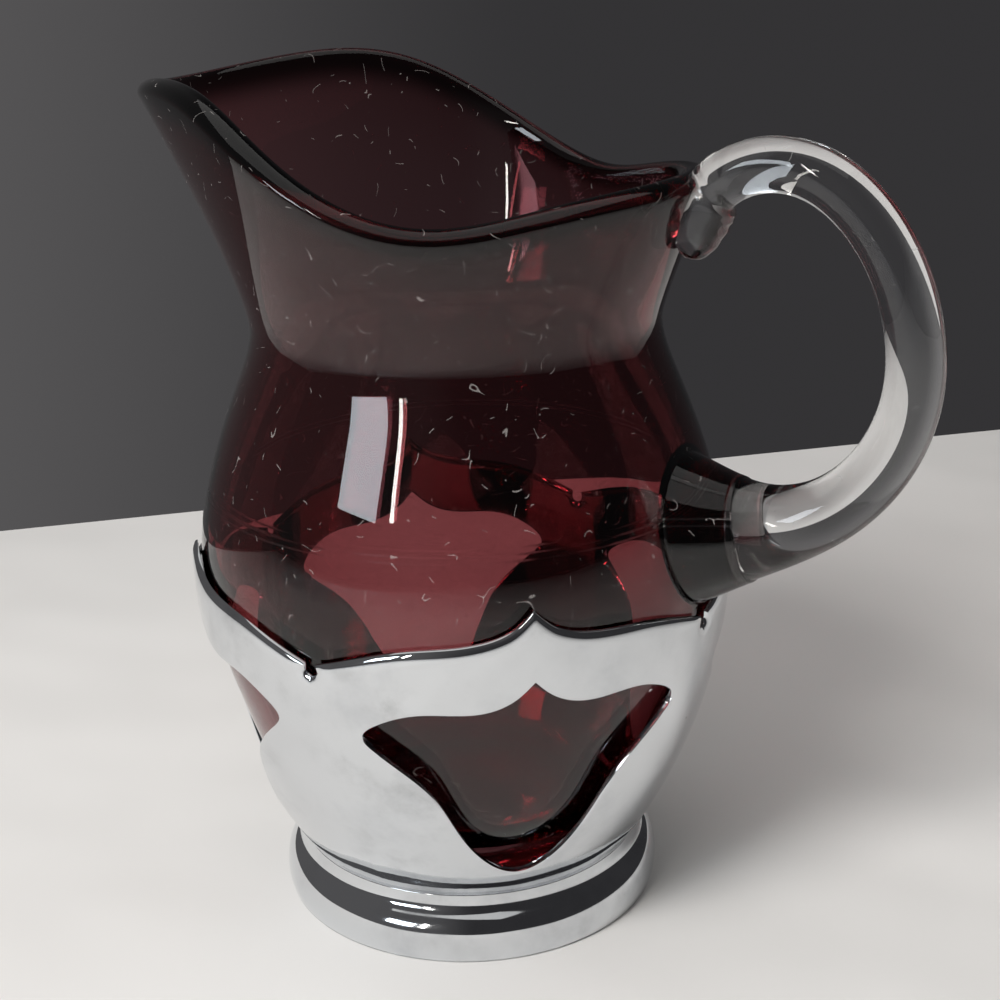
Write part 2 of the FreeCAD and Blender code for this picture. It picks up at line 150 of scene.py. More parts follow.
def flare(share):
    """How far the mouth has opened at a share of the way from the neck to the rim."""
    return share ** 2 * (1 + FLARE_BEND) / (share + FLARE_BEND)


def vessel_outside():
    """Radius and height along the mean outside, from the edge of the base to the rim."""
    line = bent_strip(OUTSIDE, SPAN_STEPS)[:NECK_PIN * SPAN_STEPS + 1]
    for step in range(1, FLARE_STEPS + 1):
        share = step / FLARE_STEPS
        line.append(Vector((NECK_RADIUS + (MOUTH_RADIUS - NECK_RADIUS) * flare(share),
                            NECK_HEIGHT + (MOUTH_HEIGHT - NECK_HEIGHT) * share)))
    return line


def vessel_section():
    """The whole wall: along the base, up the outside, over the rim and down inside to the axis."""
    outside = vessel_outside()
    inside = []
    for i, point in enumerate(outside):
        along = outside[min(i + 1, len(outside) - 1)] - outside[max(i - 1, 0)]
        outward = Vector((along.y, -along.x)).normalized()
        if point.y > WALL_FROM:
            to_rim = max(point.y - NECK_HEIGHT, 0.0) / (MOUTH_HEIGHT - NECK_HEIGHT)
            inside.append(point - outward * (GLASS_WALL + RIM_EXTRA * to_rim ** 3))
    lip = (outside[-1] - inside[-1]) / 2
    across = Vector((-lip.y, lip.x)) * RIM_CROWN
    middle = inside[-1] + lip
    rim = []
    for step in range(1, RIM_STEPS):
        turn = math.pi * step / RIM_STEPS
        rim.append(middle + lip * math.cos(turn) + across * math.sin(turn))
    floor = bent_strip([inside[0], FLOOR_PIN, (0.0, GLASS_FLOOR)], SPAN_STEPS)
    return [Vector((0.0, 0.0))] + outside + rim + inside[::-1] + floor[1:]


section = vessel_section()
print("The wall's section has", len(section), "points; its rim is at", MOUTH_HEIGHT, "mm")

# %% Spinning and opening the mouth
GLASS_TURNS = 144
RIM_OUT = (0.0, -4.2, 3.3, 0.0, 1.3, -0.3)
RIM_UP = (0.0, -7.2, 2.7, 2.4, -1.2, 0.0)
RIM_FROM = 0.86


def spin_section(bm, line, base, turns):
    """Spin a line of radius and height once round the axis, with its zero height at the base."""
    verts = [bm.verts.new((point[0], 0.0, base + point[1])) for point in line]
    edges = [bm.edges.new(pair) for pair in zip(verts, verts[1:])]
    bmesh.ops.spin(bm, geom=verts + edges, cent=(0, 0, 0), axis=(0, 0, 1), dvec=(0, 0, 0),
                   angle=2 * math.pi, steps=turns, use_merge=True)


def rim_wave(sizes, angle):
    """A sum of waves round the rim at an angle from the handle; size n goes round n times."""
    return sum(size * math.cos(turns * angle) for turns, size in enumerate(sizes))


def open_mouth(bm):
    """Move what lies above the neck out and up by the rim's own shape, and mark the rim."""
    rim_mark = bm.verts.layers.float.new("rim")
    for vert in bm.verts:
        share = (vert.co.z - GLASS_BASE - NECK_HEIGHT) / (MOUTH_HEIGHT - NECK_HEIGHT)
        if share > 0:
            share = min(share, 1.0)
            vert[rim_mark] = max(share - RIM_FROM, 0.0) / (1 - RIM_FROM)
            angle = math.atan2(vert.co.y, vert.co.x)
            pulled = rim_wave(RIM_OUT, angle) * flare(share)
            vert.co += Vector((pulled * math.cos(angle), pulled * math.sin(angle),
                               rim_wave(RIM_UP, angle) * share))


bm = bmesh.new()
spin_section(bm, section, GLASS_BASE, GLASS_TURNS)
open_mouth(bm)
vessel = finished_piece(bm, "pitcher_vessel", "glass_vessel", "glass")

# %% [markdown]
# ## The handle
# A collar of the vessel's own dark glass was set on the belly. A gather of clear glass was stuck
# to it, drawn out into a rod, bent over and pressed on the back of the mouth, where it ends in a
# folded, crimped pad. A curve with a bevel would give an even tube only. Here one circle is
# extruded from station to station along the bent line, and at each station it is turned and sized
# for that place. Ends that melted into other glass lie within it, so that no gap shows.

# %% The handle's line
HANDLE_LINE = [(26.3, 48.2), (40.3, 48.2), (51.6, 52.4), (61.4, 72.5), (43.4, 95.0), (35.6, 91.6),
               (32.7, 82.8)]
HANDLE_STEPS = 24
BELLY_RADIUS = max(radius for radius, height in OUTSIDE)

handle_strip = bent_strip(HANDLE_LINE, HANDLE_STEPS)
whole_line = [Vector((point.x, 0.0, GLASS_BASE + point.y)) for point in handle_strip]
at_belly = next(i for i, point in enumerate(whole_line) if point.x > BELLY_RADIUS)
handle_line = whole_line[at_belly:]
travelled = [0.0]
for here, following in zip(handle_line, handle_line[1:]):
    travelled.append(travelled[-1] + (following - here).length)
print("The handle's line is", round(travelled[-1], 1), "mm long")

# %% Its sections
ROD_SIDES = 48
ROD_RADIUS, ROD_END_RADIUS = 3.8, 3.3
BELL_SWELL, BELL_LENGTH = 6.5, 7.0
TIP_LENGTH, TIP_BLUNT = 7.0, 0.02
PAD_LENGTH, PAD_FOLD = 9.5, 1.2
PAD_SWELL, PAD_SPREAD = 0.14, 0.12
CRIMP_PITCH, CRIMP_DEPTH = 2.3, 0.025


def folded_at(i):
    """How far the rod is folded back on itself: 0 along the loop and 1 in the pad at its end."""
    share = min(max((PAD_LENGTH - travelled[-1] + travelled[i]) / PAD_FOLD, 0.0), 1.0)
    return share ** 2 * (3 - 2 * share)


def rod_section(i):
    """Half thickness and half width of the rod at a station of its line."""
    left = travelled[-1] - travelled[i]
    radius = ROD_RADIUS + (ROD_END_RADIUS - ROD_RADIUS) * travelled[i] / travelled[-1]
    radius += BELL_SWELL * math.exp(-travelled[i] / BELL_LENGTH)
    folded = folded_at(i)
    crimp = CRIMP_DEPTH * folded * math.cos(2 * math.pi * left / CRIMP_PITCH)
    closing = math.sqrt(max(1 - max(1 - left / TIP_LENGTH, 0.0) ** 2, TIP_BLUNT ** 2))
    thick = radius * (1 + PAD_SWELL * folded + crimp) * closing
    wide = radius * (1 + PAD_SPREAD * folded) * closing
    return thick, wide


def station(i, shrink=1.0, ahead=0.0):
    """Matrix that sizes a unit circle, turns it square to the line and sets it there or ahead."""
    along = handle_line[min(i + 1, len(handle_line) - 1)] - handle_line[max(i - 1, 0)]
    along.normalize()
    side = Vector((0.0, 1.0, 0.0))
    lift = along.cross(side)
    thick, wide = rod_section(i)
    placed = Matrix((lift * thick * shrink, side * wide * shrink, along)).transposed().to_4x4()
    fold = lift * ROD_END_RADIUS * PAD_SWELL * folded_at(i)
    placed.translation = handle_line[i] + along * ahead + fold
    return placed


def draw_rod(bm, stations):
    """Extrude a circle from station to station; the first and last are drawn to a point."""
    verts = bmesh.ops.create_circle(bm, segments=ROD_SIDES, radius=1.0, matrix=stations[0])["verts"]
    edges = bm.edges[:]
    ends = [verts]
    for last, following in zip(stations, stations[1:]):
        verts, edges = grow(bm, edges)
        bmesh.ops.transform(bm, matrix=following @ last.inverted(), verts=verts)
    ends.append(verts)
    for verts in ends:
        middle = sum((vert.co for vert in verts), Vector()) / len(verts)
        bmesh.ops.pointmerge(bm, verts=verts, merge_co=middle)


# %% The dark collar on the belly
COLLAR_LENGTH = 4.9
COLLAR_SINK = 1.2
COLLAR_ROUND = 0.35
ROUND_STEPS = (0.3, 0.6, 0.85, 1.0)
CLOSING = (0.01, 0.3, 0.6, 0.85)
collar_end = next(i for i, done in enumerate(travelled) if done > COLLAR_LENGTH)
outside_line = vessel_outside()


def outside_radius(height):
    """The vessel's radius at a height on its belly, read off its section."""
    heights = [point.y for point in outside_line]
    return float(np.interp(height, heights, [point.x for point in outside_line]))


def seat_collar(bm):
    """Bend the collar's end to the belly it melted into, and let the bend fade along the bell."""
    for vert in bm.verts:
        from_belly = max(vert.co.x - BELLY_RADIUS, 0.0)
        radius = outside_radius(vert.co.z - GLASS_BASE)
        surface = math.sqrt(max(radius ** 2 - vert.co.y ** 2, 0.0))
        fade = max(1 - from_belly / BELL_LENGTH, 0.0) ** 2
        vert.co.x += (surface - BELLY_RADIUS - COLLAR_SINK) * fade


half_thickness = rod_section(collar_end)[0]
stations = [station(0, share) for share in CLOSING] + [station(i) for i in range(collar_end + 1)]
for step in ROUND_STEPS:
    turn = step * math.pi / 2
    shrink = 1 - COLLAR_ROUND / half_thickness * (1 - math.cos(turn))
    stations.append(station(collar_end, shrink, COLLAR_ROUND * math.sin(turn)))
stations += [station(collar_end, share, COLLAR_ROUND) for share in CLOSING[::-1]]
bm = bmesh.new()
draw_rod(bm, stations)
seat_collar(bm)
collar = finished_piece(bm, "handle_collar", "handle", "glass")

# %% The clear rod
ROD_OVERLAP = 2
ROD_STEP = 0.035
ROD_EASE = 3.0


def rod_shrink(i):
    """The rod leaves the collar a little slimmer and fills out again within a few millimetres."""
    return 1 - ROD_STEP * math.exp(-max(travelled[i] - travelled[collar_end], 0.0) / ROD_EASE)


rod_start = collar_end - ROD_OVERLAP
stations = [station(rod_start, share * rod_shrink(rod_start)) for share in CLOSING]
stations += [station(i, rod_shrink(i)) for i in range(rod_start, len(handle_line))]
bm = bmesh.new()
draw_rod(bm, stations)
handle = finished_piece(bm, "clear_handle", "handle", "glass")

# %% [markdown]
# ## The foot
# The foot is a shallow ring spun from sheet. From the floor its wall goes up almost straight,
# rolls over a full shoulder and runs in to a hollow waist under the cup. A lathe tool leaves one
# flowing line there, so the outside is a bent strip again, and only the foot's standing edge is
# a corner, which is bevelled.

# %% Spinning the foot
FOOT_TURNS = 160
FOOT_STEPS = 5
FOOT_OUTSIDE = [(24.4, 9.0), (24.45, 8.4), (24.6, 7.55), (24.95, 6.8), (25.65, 6.15), (26.4, 5.3),
                (26.88, 4.2), (27.07, 3.0), (27.1, 2.0), (26.95, 0.9), (26.7, 0.0)]
FOOT_INSIDE = [(25.6, 0.0), (25.9, 2.6), (25.2, 4.6), (23.6, 6.1), (23.3, 7.0), (23.3, 7.9),
               (0.0, 7.9)]
FOOT_TOP = FOOT_OUTSIDE[0][1]
FOOT_EDGE = FOOT_OUTSIDE[-1][0]
EDGE_BEVEL, BEVEL_STEPS = 0.3, 3


def on_standing_edge(vert):
    """Whether a vertex lies on the foot's outer edge on the floor."""
    return abs(vert.co.z) < SEAM and vert.co.xy.length > FOOT_EDGE - SEAM


bm = bmesh.new()
foot_section = [(0.0, FOOT_TOP)] + bent_strip(FOOT_OUTSIDE, FOOT_STEPS) + FOOT_INSIDE
spin_section(bm, foot_section, 0.0, FOOT_TURNS)
bmesh.ops.remove_doubles(bm, verts=bm.verts, dist=SEAM)
standing = [edge for edge in bm.edges if all(on_standing_edge(vert) for vert in edge.verts)]
bmesh.ops.bevel(bm, geom=standing, offset=EDGE_BEVEL, segments=BEVEL_STEPS, profile=0.5,
                affect="EDGES", material=-1)
foot = finished_piece(bm, "spun_foot", "holder_foot", "holder")

# %% [markdown]
# ## The cup
# The cup was pressed from one sheet: a wall that swells upwards, four lobes with a pointed crest,
# a slit between neighbours and a shield-shaped window in each lobe. The lip is rolled in towards
# the glass. Cutting windows out of a spun wall would leave ragged edges. Here half a lobe is laid
# out flat, as a pattern maker would: the window's outline is extruded outwards, ring by ring, until
# it meets the lobe's own outline. The half is mirrored, rolled up to the wall's shape, and four of
# them are set round the axis. A Solidify modifier then gives the sheet its thickness, which runs
# out to a fine edge at the rolled lip.
# The window's last pin mirrors the one before the lowest point, so that the strip lies level there,
# and the span that leads to it is left off.

# %% Outlines of half a lobe
CUP_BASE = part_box("holder_cup")[0].z / MM
CUP_RADIUS = 37.2
CUP_BELLY = 43.0
CUP_SWEEP = 78.627
LOBES = 4
SECTOR = CUP_RADIUS * math.pi / LOBES
NOTCH = 0.9
NOTCH_CENTRE = 37.2
OUTLINE_STEPS = 12
WINDOW_PINS = [(0.0, 36.7), (2.4, 34.5), (6.6, 32.9), (13.2, 32.8), (18.2, 31.2), (20.4, 28.7),
               (18.9, 26.7), (12.4, 20.3), (6.9, 10.4), (0.0, 4.8), (-6.9, 10.4)]
LOBE_PINS = [(0.0, 46.2), (2.4, 44.0), (6.6, 42.4), (16.5, 41.2), (25.66, 37.95)]
SIDE_PINS = [(SECTOR, 28.0), (SECTOR, 16.0), (SECTOR, 0.0), (0.0, 0.0)]


def cup_radius(height):
    """Radius of the cup's outside: an arc that stands upright at the belly."""
    below = max(CUP_BELLY - height, 0.0)
    return CUP_RADIUS - CUP_SWEEP + math.sqrt(CUP_SWEEP ** 2 - below ** 2)


def rolled_out(point):
    """Lay a point, drawn from straight ahead, flat: its distance round the wall and its height."""
    return Vector((CUP_RADIUS * math.asin(point[0] / cup_radius(point[1])), point[1]))


def straight(start, end):
    """Even steps from one point to the next, without the last."""
    return [start.lerp(end, step / OUTLINE_STEPS) for step in range(OUTLINE_STEPS)]


window_strip = bent_strip(WINDOW_PINS, OUTLINE_STEPS)[:-OUTLINE_STEPS]
window_line = [rolled_out(point) for point in window_strip]
lobe_line = [rolled_out(point) for point in bent_strip(LOBE_PINS, OUTLINE_STEPS)[:-1]]
notch_line = [rolled_out(LOBE_PINS[-1])]
for step in range(OUTLINE_STEPS):
    turn = math.pi / 2 * step / (OUTLINE_STEPS - 1)
    notch_line.append(Vector((SECTOR - NOTCH * math.cos(turn),
                              NOTCH_CENTRE - NOTCH * math.sin(turn))))
free_edge = lobe_line + notch_line
free_edge += [Vector((2 * SECTOR - point.x, point.y)) for point in notch_line]
lobe_side = [notch_line[-1]] + [Vector(pin) for pin in SIDE_PINS]
outer_line = lobe_line + notch_line[:-1]
for here, following in zip(lobe_side, lobe_side[1:]):
    outer_line += straight(here, following)
outer_line.append(lobe_side[-1])
print("Half a lobe:", len(window_line), "points at the window,", len(outer_line), "at its edge")

# %% From the window to the edge of the lobe
LOBE_TURN = math.radians(-49.5)
NEAR_WINDOW = (0.0, 0.05, 0.13, 0.25, 0.6)
NEAR_EDGE = (2.3, 1.75, 1.35, 1.0, 0.72, 0.48, 0.3, 0.16, 0.06, 0.0)
BETWEEN = 7
LIP_ROLL, LIP_DEPTH = 1.7, 0.8
BURR = 0.25
SHEET = 0.9
FLOOR_RINGS = (0.96, 0.5, 0.0001)


def ring_shares(width):
    """Where rings lie between window and edge, as shares of the way, close together near both."""
    shares = [distance / width for distance in NEAR_WINDOW]
    outer = [1 - distance / width for distance in NEAR_EDGE]
    gap = outer[0] - shares[-1]
    between = [shares[-1] + gap * step / (BETWEEN + 1) for step in range(1, BETWEEN + 1)]
    return shares + between + outer


def rounding(distance, run, depth):
    """How deep a rounded edge has dropped at a distance from it."""
    left = max(1 - distance / run, 0.0)
    return depth * (1 - math.sqrt(1 - left ** 2))


def lay_half_lobe(bm):
    """Extrude the window's outline to the lobe's own, flat, with the first line at the window."""
    number = bm.verts.layers.int.new("number")
    shares = [ring_shares((outer - inner).length) for inner, outer in zip(window_line, outer_line)]
    verts = []
    for i, point in enumerate(window_line):
        verts.append(bm.verts.new((point.x, point.y, 0.0)))
        verts[-1][number] = i
    edges = [bm.edges.new(pair) for pair in zip(verts, verts[1:])]
    for ring in range(1, len(shares[0])):
        verts, edges = grow(bm, edges)
        for vert in verts:
            i = vert[number]
            vert.co.xy = window_line[i].lerp(outer_line[i], shares[i][ring])


def roll_up(bm):
    """Bring the flat lobe to the wall's shape, round its edges and note the sheet's thickness."""
    thickness = bm.verts.layers.deform.verify()
    for vert in bm.verts:
        place = Vector((abs(vert.co.x), vert.co.y))
        lip = rounding(min((place - point).length for point in free_edge), LIP_ROLL, LIP_DEPTH)
        burr = rounding(min((place - point).length for point in window_line), BURR, BURR)
        drop = max(lip, burr)
        vert[thickness][0] = (SHEET - drop) / SHEET
        angle = LOBE_TURN + vert.co.x / CUP_RADIUS
        radius = cup_radius(vert.co.y) - drop
        vert.co = Vector((radius * math.cos(angle), radius * math.sin(angle), CUP_BASE + vert.co.y))


def close_floor(bm):
    """Extrude the wall's bottom edge inwards to the axis."""
    edges = [edge for edge in bm.edges if edge.is_boundary
             and all(abs(vert.co.z - CUP_BASE) < SEAM for vert in edge.verts)]
    for shrink in FLOOR_RINGS:
        verts, edges = grow(bm, edges)
        bmesh.ops.scale(bm, vec=Vector((shrink, shrink, 1.0)), verts=verts)


bm = bmesh.new()
lay_half_lobe(bm)
bmesh.ops.mirror(bm, geom=bm.verts[:] + bm.edges[:] + bm.faces[:], axis="X", merge_dist=SEAM)
roll_up(bm)
bmesh.ops.spin(bm, geom=bm.verts[:] + bm.edges[:] + bm.faces[:], cent=(0, 0, 0), axis=(0, 0, 1),
               dvec=(0, 0, 0), angle=2 * math.pi * (LOBES - 1) / LOBES, steps=LOBES - 1,
               use_duplicate=True)
bmesh.ops.remove_doubles(bm, verts=bm.verts, dist=SEAM)
close_floor(bm)
cup = finished_piece(bm, "openwork_cup", "holder_cup", "holder")

# %% Thickness of the sheet
FINE_EDGE = math.radians(40.0)

cup.vertex_groups.new(name="sheet")
sheet = cup.modifiers.new("sheet", "SOLIDIFY")
sheet.thickness = SHEET * MM
sheet.offset = -1.0
sheet.vertex_group = "sheet"
sheet.use_even_offset = True
sheet.use_quality_normals = True
depsgraph = bpy.context.evaluated_depsgraph_get()
solid_cup = bpy.data.meshes.new_from_object(cup.evaluated_get(depsgraph))
cup.modifiers.clear()
cup.data = solid_cup
solid_cup.set_sharp_from_angle(angle=FINE_EDGE)
print("The cup's sheet is", SHEET, "mm;", len(solid_cup.polygons), "faces")

# %% [markdown]
# ## Writing finishes as sums
# A finish is a net of nodes, and most of its nodes only add, multiply or compare.
# A small class wraps one socket, so that such sums read as sums, and one method of it adds any
# other node: its settings first, because they decide which sockets it has, and then a value or
# a link for each socket.

# %% A wrapped socket
class Wire:
    """One output of a finish's nodes; arithmetic on it adds Math nodes."""

    def __init__(self, tree, socket=None):
        self.tree = tree
        self.socket = socket

    def node(self, kind, sockets, output=0, **settings):
        """Add a node and return one of its outputs."""
        made = self.tree.nodes.new("ShaderNode" + kind)
        for name, value in settings.items():
            setattr(made, name, value)
        for name, value in sockets.items():
            if isinstance(value, Wire):
                self.tree.links.new(value.socket, made.inputs[name])
            else:
                made.inputs[name].default_value = value
        return Wire(self.tree, made.outputs[output])

    def sum(self, operation, *values):
        """Add a Math node that works on wires and numbers."""
        return self.node("Math", dict(enumerate(values)), operation=operation)

    def __add__(self, other):
        return self.sum("ADD", self, other)

    def __sub__(self, other):
        return self.sum("SUBTRACT", self, other)

    def __rsub__(self, other):
        return self.sum("SUBTRACT", other, self)

    def __mul__(self, other):
        return self.sum("MULTIPLY", self, other)

    def __abs__(self):
        return self.sum("ABSOLUTE", self)

    __radd__ = __add__
    __rmul__ = __mul__

    def ease(self, low, high):
        """0 below low, 1 above high and smooth between; low may be the greater of the two."""
        return self.node("MapRange", {"Value": self, "From Min": low, "From Max": high},
                         interpolation_type="SMOOTHSTEP")

    def noise(self, scale, detail=2.0, roughness=0.5):
        """A cloudy number from 0 to 1 at this place."""
        return self.node("TexNoise", {"Vector": self, "Scale": scale, "Detail": detail,
                                      "Roughness": roughness})

    def relief(self, depth, strength=1.0):
        """A normal that tilts as if this number raised the surface by a depth in metres."""
        return self.node("Bump", {"Height": self, "Strength": strength, "Distance": depth},
                         output="Normal")

    def blend(self, first, second):
        """A colour between two colours, by this number."""
        return self.node("Mix", {0: self, 6: first, 7: second}, output=2, data_type="RGBA")


# %% Starting and ending a finish
def new_finish(name):
    """An empty finish: its material, a wire at the place on the piece, and its output node."""
    material = bpy.data.materials.new(name)
    material.use_nodes = True
    tree = material.node_tree
    tree.nodes.clear()
    output = tree.nodes.new("ShaderNodeOutputMaterial")
    place = Wire(tree).node("TexCoord", {}, output="Object")
    return material, place, output


def connect(node, **wires):
    """Lead wires to the named sockets of a node that is there already."""
    for name, wire in wires.items():
        wire.tree.links.new(wire.socket, node.inputs[name])


# %% [markdown]
# ## Dust and lint
# Both glasses carry what dark glass always shows: specks of dust and short curved hairs of lint.
# A speck is the middle of a Voronoi cell, kept only in the few cells whose own random colour is
# high. A hair is a thin contour line of a cloud, cut short by a second, finer cloud.
# Dust is dull, so where it lies, some of a dull shader is mixed into the glass.

# %% Masks for what lies on the glass
SPECK_CORE, SPECK_PICK = 0.4, 0.02
HAIR_CORE, HAIR_CUT = 0.3, 0.03
CLOUD_MIDDLE = 0.5
FINER = 2.3


def dust(place, scale, size, rare):
    """Specks: near the middle of a cell, in the share of cells above rare."""
    cell = {"Vector": place, "Scale": scale}
    near = place.node("TexVoronoi", cell, output="Distance").ease(size, SPECK_CORE * size)
    pick = place.node("SeparateColor", {"Color": place.node("TexVoronoi", cell, output="Color")})
    return near * pick.ease(rare, rare + SPECK_PICK)


def lint(place, scale, width, rare):
    """Hairs: where a cloud passes its middle value, kept where a finer cloud is high."""
    line = abs(place.noise(scale, detail=0.0) - CLOUD_MIDDLE).ease(width, HAIR_CORE * width)
    return line * place.noise(FINER * scale, detail=0.0).ease(rare, rare + HAIR_CUT)


# %% Glass with dust on it
WHITE = (1.0, 1.0, 1.0, 1.0)
GLASS_IOR = 1.5
FLUFF_ROUGHNESS = 0.9
FLUFF_COVER = 0.3


def dusty_glass(place, surface, lying, fluff_colour):
    """A shader of glass, with its surface's own sockets, and dull fluff where something lies."""
    glass = place.node("BsdfPrincipled", {"Transmission Weight": 1.0, "IOR": GLASS_IOR, **surface})
    fluff = place.node("BsdfPrincipled", {"Base Color": fluff_colour, "Roughness": FLUFF_ROUGHNESS})
    return place.node("MixShader", {0: FLUFF_COVER * lying, 1: glass, 2: fluff})


# %% [markdown]
# ## Amethyst glass
# The glass itself is clear on its surface; its colour builds up with depth. So the surface is
# a plain glass, and a volume takes up green and blue light on the way through: a thin edge is rose,
# and two walls are nearly black. In the thick, rounded rim, light is led along the edge and lost,
# which a renderer follows only in part, so painted shade darkens the surface where the rim is
# marked.
# Fine handling scratches and smears change the roughness, and a wear line runs round the belly.

# %% Amethyst finish
AMETHYST = (0.54, 0.018, 0.061, 1.0)
AMETHYST_DENSITY = 570.0
RIM_PAINTED_SHADE = (0.09, 0.06, 0.065, 1.0)
GREY_FLUFF = (0.62, 0.58, 0.56, 1.0)
RIPPLE_DEPTH = 0.6 * MM
WEAR_HEIGHT = 61.3 * MM
WEAR_APART = 0.4 * MM
WEAR_WIDE, WEAR_SHARP = 0.22 * MM, 0.05 * MM


def amethyst_finish():
    """Dark glass with smears, dust, a worn ring and painted shade at the rim."""
    material, place, output = new_finish("amethyst glass")
    height = place.node("SeparateXYZ", {"Vector": place}, output="Z")
    smear = place.noise(55.0, detail=4.0, roughness=0.6).ease(0.52, 0.75)
    scuff = place.noise(900.0).ease(0.62, 0.7) * place.noise(60.0).ease(0.5, 0.65)
    ring = abs(abs(height - WEAR_HEIGHT) - WEAR_APART).ease(WEAR_WIDE, WEAR_SHARP)
    worn = ring * place.noise(90.0).ease(0.35, 0.5)
    rim = place.node("Attribute", {}, output="Fac", attribute_name="rim").ease(0.0, 1.0)
    # The rim mark darkens the surface colour there: painted shade for light lost in the thick rim.
    surface = {"Base Color": rim.blend(WHITE, RIM_PAINTED_SHADE),
               "Roughness": 0.003 + 0.02 * smear + 0.08 * scuff + 0.25 * worn,
               "Normal": place.noise(32.0, detail=1.0).relief(RIPPLE_DEPTH)}
    lying = dust(place, scale=420.0, size=0.07, rare=0.86)
    lying += lint(place, scale=300.0, width=0.008, rare=0.64)
    depth = place.node("VolumeAbsorption", {"Color": AMETHYST, "Density": AMETHYST_DENSITY})
    connect(output, Surface=dusty_glass(place, surface, lying, GREY_FLUFF), Volume=depth)
    return material


amethyst = amethyst_finish()
vessel.data.materials.append(amethyst)
collar.data.materials.append(amethyst)
print("Amethyst finish:", len(amethyst.node_tree.nodes), "nodes")

# %% [markdown]
# ## Clear glass
# The handle was drawn by hand, so its surface has long soft waves that bend what is seen through
# it. It is almost colourless, with a trace of green, and carries dust and a few fine scratches.

# %% Clear finish
CLEAR = (0.80, 0.86, 0.84, 1.0)
CLEAR_DENSITY = 6.0
PALE_FLUFF = (0.75, 0.75, 0.74, 1.0)
WAVE_DEPTH = 0.3 * MM


def clear_finish():
    """Clear drawn glass with waves and dust."""
    material, place, output = new_finish("clear glass")
    scratch = lint(place, scale=60.0, width=0.003, rare=0.55)
    surface = {"Base Color": WHITE, "Roughness": 0.002 + 0.05 * scratch,
               "Normal": place.noise(45.0, detail=1.0).relief(WAVE_DEPTH)}
    lying = dust(place, scale=380.0, size=0.06, rare=0.92)
    lying += lint(place, scale=270.0, width=0.006, rare=0.72)
    depth = place.node("VolumeAbsorption", {"Color": CLEAR, "Density": CLEAR_DENSITY})
    connect(output, Surface=dusty_glass(place, surface, lying, PALE_FLUFF), Volume=depth)
    return material


handle.data.materials.append(clear_finish())
print("Clear finish:", len(handle.data.materials[0].node_tree.nodes), "nodes")

# %% [markdown]
# ## Chrome
# Plated steel mirrors the cloth it stands on. What tells it from a perfect mirror is the press work
# under the plating, which leaves slow waves, and use: dull water stains, a haze from wiping and
# small dark pits. The haze's cloudy patches also darken the plate's colour: partly real wiping
# haze, partly painted dark reflections.

# %% Chrome finish
PLATE, PAINTED_REFLECTION_AND_HAZE = (0.73, 0.75, 0.77, 1.0), (0.50, 0.52, 0.55, 1.0)
STAINED = (0.42, 0.43, 0.44, 1.0)
PITTED = (0.06, 0.055, 0.05, 1.0)
PIT_DEPTH = 0.15
PRESS_DEPTH = 1.0 * MM


def chrome_finish():
    """Plated sheet with slow waves, water stains, wiping haze that also paints dark reflections,
    and pits.
    """
    material, place, output = new_finish("chrome")
    wave = place.noise(38.0, detail=1.5)
    haze_and_painted_reflection = place.noise(70.0, detail=5.0, roughness=0.65).ease(0.45, 0.8)
    drops = place.noise(110.0, detail=5.0, roughness=0.65).ease(0.5, 0.8)
    stain = drops * place.noise(40.0).ease(0.4, 0.65)
    pits = dust(place, scale=260.0, size=0.06, rare=0.93)
    # The haze darkens the plate's colour: real wiping haze and painted dark reflections.
    wiped_and_painted_reflection = (0.6 * haze_and_painted_reflection).blend(PLATE, PAINTED_REFLECTION_AND_HAZE)
    spotted = (0.6 * stain).blend(wiped_and_painted_reflection, STAINED)
    metal = place.node("BsdfPrincipled", {
        "Base Color": pits.blend(spotted, PITTED), "Metallic": 1.0,
        "Roughness": 0.04 + 0.06 * haze_and_painted_reflection + 0.10 * stain + 0.3 * pits,
        "Normal": (wave - PIT_DEPTH * pits).relief(PRESS_DEPTH)})
    connect(output, Surface=metal)
    return material


chrome = chrome_finish()
foot.data.materials.append(chrome)
cup.data.materials.append(chrome)
print("Chrome finish:", len(chrome.node_tree.nodes), "nodes")

# %% [markdown]
# ## Camera, floor and light
# The camera stands where the photograph was taken from: a little above the rim, turned towards the
# handle's side. The pale floor ends just behind the object, in front of a dark grey room, and both
# show in the glass and chrome. The wide ceiling and the side lamp only light the scene: mirrored in
# the glass, they would turn the rim and the mouth milky, so they are hidden from mirrors.
# The side lamp's spread is narrowed, as a grid does on a studio lamp, so that the floor nearest
# to it doesn't turn white. The other three lamps are there to be mirrored, as a soft top, a window
# and a bright strip.

# %% Camera
CAMERA_PLACE = Vector((105.2, -202.1, 138.2)) * MM
CAMERA_RIGHT = Vector((0.9007, 0.4339, -0.0215))
CAMERA_UP = Vector((-0.1282, 0.3127, 0.9412))
LENS = 62.96
SENSOR = 36.0
CLIP_START = 0.01

camera = bpy.data.objects.new("camera", bpy.data.cameras.new("camera"))
camera.data.lens = LENS
camera.data.sensor_width = SENSOR
camera.data.clip_start = CLIP_START
back = CAMERA_RIGHT.cross(CAMERA_UP).normalized()
right = CAMERA_UP.cross(back).normalized()
turned = Matrix((right, back.cross(right), back)).transposed().to_4x4()
camera.matrix_world = Matrix.Translation(CAMERA_PLACE) @ turned
bpy.context.scene.collection.objects.link(camera)
bpy.context.scene.camera = camera
print("Camera", round(CAMERA_PLACE.length / MM), "mm from the foot's middle, lens", LENS, "mm")

# %% Floor
FLOOR_TURN = math.radians(39.7)
FLOOR_BACK = 0.166
FLOOR_WIDE, FLOOR_DEEP = 3.0, 2.0
CLOTH, PALE_CLOTH = (0.74, 0.73, 0.72, 1.0), (0.80, 0.79, 0.78, 1.0)
CREASE_DEPTH = 10.0 * MM


